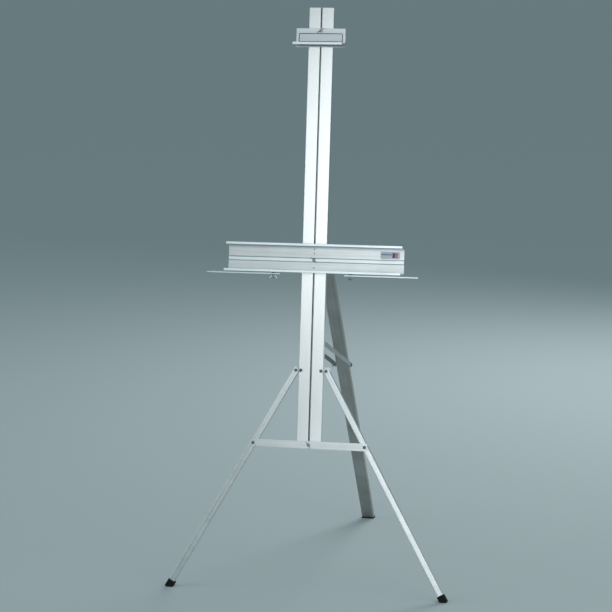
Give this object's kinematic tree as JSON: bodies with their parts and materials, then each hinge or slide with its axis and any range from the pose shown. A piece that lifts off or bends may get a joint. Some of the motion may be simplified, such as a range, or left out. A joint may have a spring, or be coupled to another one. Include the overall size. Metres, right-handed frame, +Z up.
{
  "type": "tripod easel",
  "caption": "Folding aluminium easel: leaning slotted mast on spread front legs and a braced rear leg, with a sliding canvas tray, extension bars and a sliding canvas holder",
  "frame": {"origin": "on the floor, at the centre of the bounding box's bottom", "axes": "+Z up, +X to the right of someone facing the canvas, -Y towards that person; the mast leans back by 8 degrees, towards +Y"},
  "size_m": [0.9852, 1.1581, 1.9786],
  "materials": {
    "mast_aluminium": "extruded, clear anodised, fine die lines along its length",
    "front_leg_aluminium": "extruded square tube, clear anodised",
    "rear_leg_aluminium": "extruded channel, mill finish, slightly dull",
    "tray_aluminium": "extruded, clear anodised, fine streaks along its length",
    "holder_aluminium": "extruded, clear anodised",
    "bar_aluminium": "flat bar, mill finish",
    "zinc_steel": "zinc plated",
    "rubber": "black, matte",
    "nylon": "grey, matte",
    "label": "silver film with a plain border"
  },
  "bodies": {
    "mast": {"mast_extrusion": "mast_aluminium", "leg_bracket": "bar_aluminium", "hinge_bracket": "zinc_steel", "brace_bracket": "zinc_steel", "bracket_bolt_left": "zinc_steel", "bracket_bolt_right": "zinc_steel", "bracket_nut_left": "zinc_steel", "bracket_nut_right": "zinc_steel", "leg_pivot_bolt_left": "zinc_steel", "leg_pivot_bolt_right": "zinc_steel", "leg_pivot_nut_left": "zinc_steel", "leg_pivot_nut_right": "zinc_steel", "hinge_bracket_screw_1": "zinc_steel", "hinge_bracket_screw_2": "zinc_steel", "hinge_bracket_screw_3": "zinc_steel", "hinge_bracket_screw_4": "zinc_steel", "brace_bracket_screw_left": "zinc_steel", "brace_bracket_screw_right": "zinc_steel", "rear_hinge_bolt": "zinc_steel", "rear_hinge_nut": "zinc_steel", "brace_rivet_left": "zinc_steel", "brace_rivet_right": "zinc_steel", "crossbar_t_bolt": "zinc_steel"},
    "left_front_leg": {"leg_tube_left": "front_leg_aluminium", "leg_tip_left": "rubber", "leg_stud_left": "zinc_steel"},
    "right_front_leg": {"leg_tube_right": "front_leg_aluminium", "leg_tip_right": "rubber", "leg_stud_right": "zinc_steel"},
    "crossbar": {"crossbar": "bar_aluminium", "crossbar_washer": "zinc_steel"},
    "crossbar_nut": {"crossbar_wing_nut": "zinc_steel"},
    "rear_leg": {"rear_leg_channel": "rear_leg_aluminium", "rear_leg_pad": "rubber", "brace_stud": "zinc_steel", "brace_sleeve": "bar_aluminium", "brace_stud_washer": "zinc_steel"},
    "brace_nut": {"brace_wing_nut": "zinc_steel"},
    "left_brace": {"brace_bar_left": "bar_aluminium"},
    "right_brace": {"brace_bar_right": "bar_aluminium"},
    "tray": {"tray_extrusion": "tray_aluminium", "tray_sticker": "label", "tray_t_bolt": "zinc_steel", "tray_washer": "zinc_steel", "bar_screw_left": "zinc_steel", "bar_screw_right": "zinc_steel", "bar_spacer_left": "nylon", "bar_spacer_right": "nylon", "bar_washer_left": "zinc_steel", "bar_washer_right": "zinc_steel"},
    "tray_nut": {"tray_wing_nut": "zinc_steel"},
    "left_extension": {"extension_bar_left": "bar_aluminium"},
    "right_extension": {"extension_bar_right": "bar_aluminium"},
    "left_extension_nut": {"bar_wing_nut_left": "zinc_steel"},
    "right_extension_nut": {"bar_wing_nut_right": "zinc_steel"},
    "holder": {"holder_extrusion": "holder_aluminium", "holder_label": "label", "holder_t_bolt": "zinc_steel", "holder_washer": "zinc_steel"},
    "holder_nut": {"holder_wing_nut": "zinc_steel"}
  },
  "joints": [
    {"name": "left_leg_fold", "type": "hinge", "parent": "mast", "child": "left_front_leg", "pos_m": [-0.0523, -0.45976, 0.75524], "axis": [0, -0.9903, 0.1392], "range_deg": [0, 29.3]},
    {"name": "right_leg_fold", "type": "hinge", "parent": "mast", "child": "right_front_leg", "pos_m": [0.0523, -0.45976, 0.75524], "axis": [0, 0.9903, -0.1392], "range_deg": [0, 29.3]},
    {"name": "crossbar_turn", "type": "hinge", "parent": "mast", "child": "crossbar", "pos_m": [0, -0.50666, 0.50635], "axis": [0, 0.9903, -0.1392], "range_deg": [0, 90]},
    {"name": "rear_leg_fold", "type": "hinge", "parent": "mast", "child": "rear_leg", "pos_m": [0, -0.35457, 1.27163], "axis": [-1, 0, 0], "range_deg": [0, 43.8]},
    {"name": "left_brace_fold", "type": "hinge", "parent": "mast", "child": "left_brace", "pos_m": [-0.029, -0.42406, 0.85121], "axis": [-1, 0, 0], "range_deg": [0, 79.3]},
    {"name": "right_brace_fold", "type": "hinge", "parent": "mast", "child": "right_brace", "pos_m": [0.029, -0.42406, 0.85121], "axis": [-1, 0, 0], "range_deg": [0, 79.3]},
    {"name": "tray_slide", "type": "slide", "parent": "mast", "child": "tray", "axis": [0, 0.1392, 0.9903], "range_m": [-0.29, 0.3]},
    {"name": "holder_slide", "type": "slide", "parent": "mast", "child": "holder", "axis": [0, 0.1392, 0.9903], "range_m": [-0.3, 0.06]},
    {"name": "left_extension_slide", "type": "slide", "parent": "tray", "child": "left_extension", "axis": [1, 0, 0], "range_m": [0, 0.105]},
    {"name": "right_extension_slide", "type": "slide", "parent": "tray", "child": "right_extension", "axis": [-1, 0, 0], "range_m": [0, 0.105]},
    {"name": "holder_nut_turn", "type": "hinge", "parent": "holder", "child": "holder_nut", "pos_m": [0, -0.31819, 1.90271], "axis": [0, -0.9903, 0.1392], "continuous": true},
    {"name": "tray_nut_turn", "type": "hinge", "parent": "tray", "child": "tray_nut", "pos_m": [0, -0.4267, 1.13059], "axis": [0, -0.9903, 0.1392], "continuous": true},
    {"name": "crossbar_nut_turn", "type": "hinge", "parent": "mast", "child": "crossbar_nut", "pos_m": [0, -0.51428, 0.50742], "axis": [0, -0.9903, 0.1392], "continuous": true},
    {"name": "brace_nut_turn", "type": "hinge", "parent": "rear_leg", "child": "brace_nut", "pos_m": [-0.036, 0.07371, 0.68293], "axis": [-1, 0, 0], "continuous": true},
    {"name": "left_extension_nut_turn", "type": "hinge", "parent": "tray", "child": "left_extension_nut", "pos_m": [-0.133, -0.45748, 1.07685], "axis": [0, -0.1392, -0.9903], "continuous": true},
    {"name": "right_extension_nut_turn", "type": "hinge", "parent": "tray", "child": "right_extension_nut", "pos_m": [0.133, -0.45748, 1.07685], "axis": [0, -0.1392, -0.9903], "continuous": true}
  ],
  "couplings": [
    {"joint": "right_leg_fold", "follows": "left_leg_fold", "ratio": 1},
    {"joint": "crossbar_turn", "follows": "left_leg_fold", "ratio": 3.07},
    {"joint": "left_brace_fold", "follows": "rear_leg_fold", "ratio": 1.81},
    {"joint": "right_brace_fold", "follows": "rear_leg_fold", "ratio": 1.81}
  ]
}
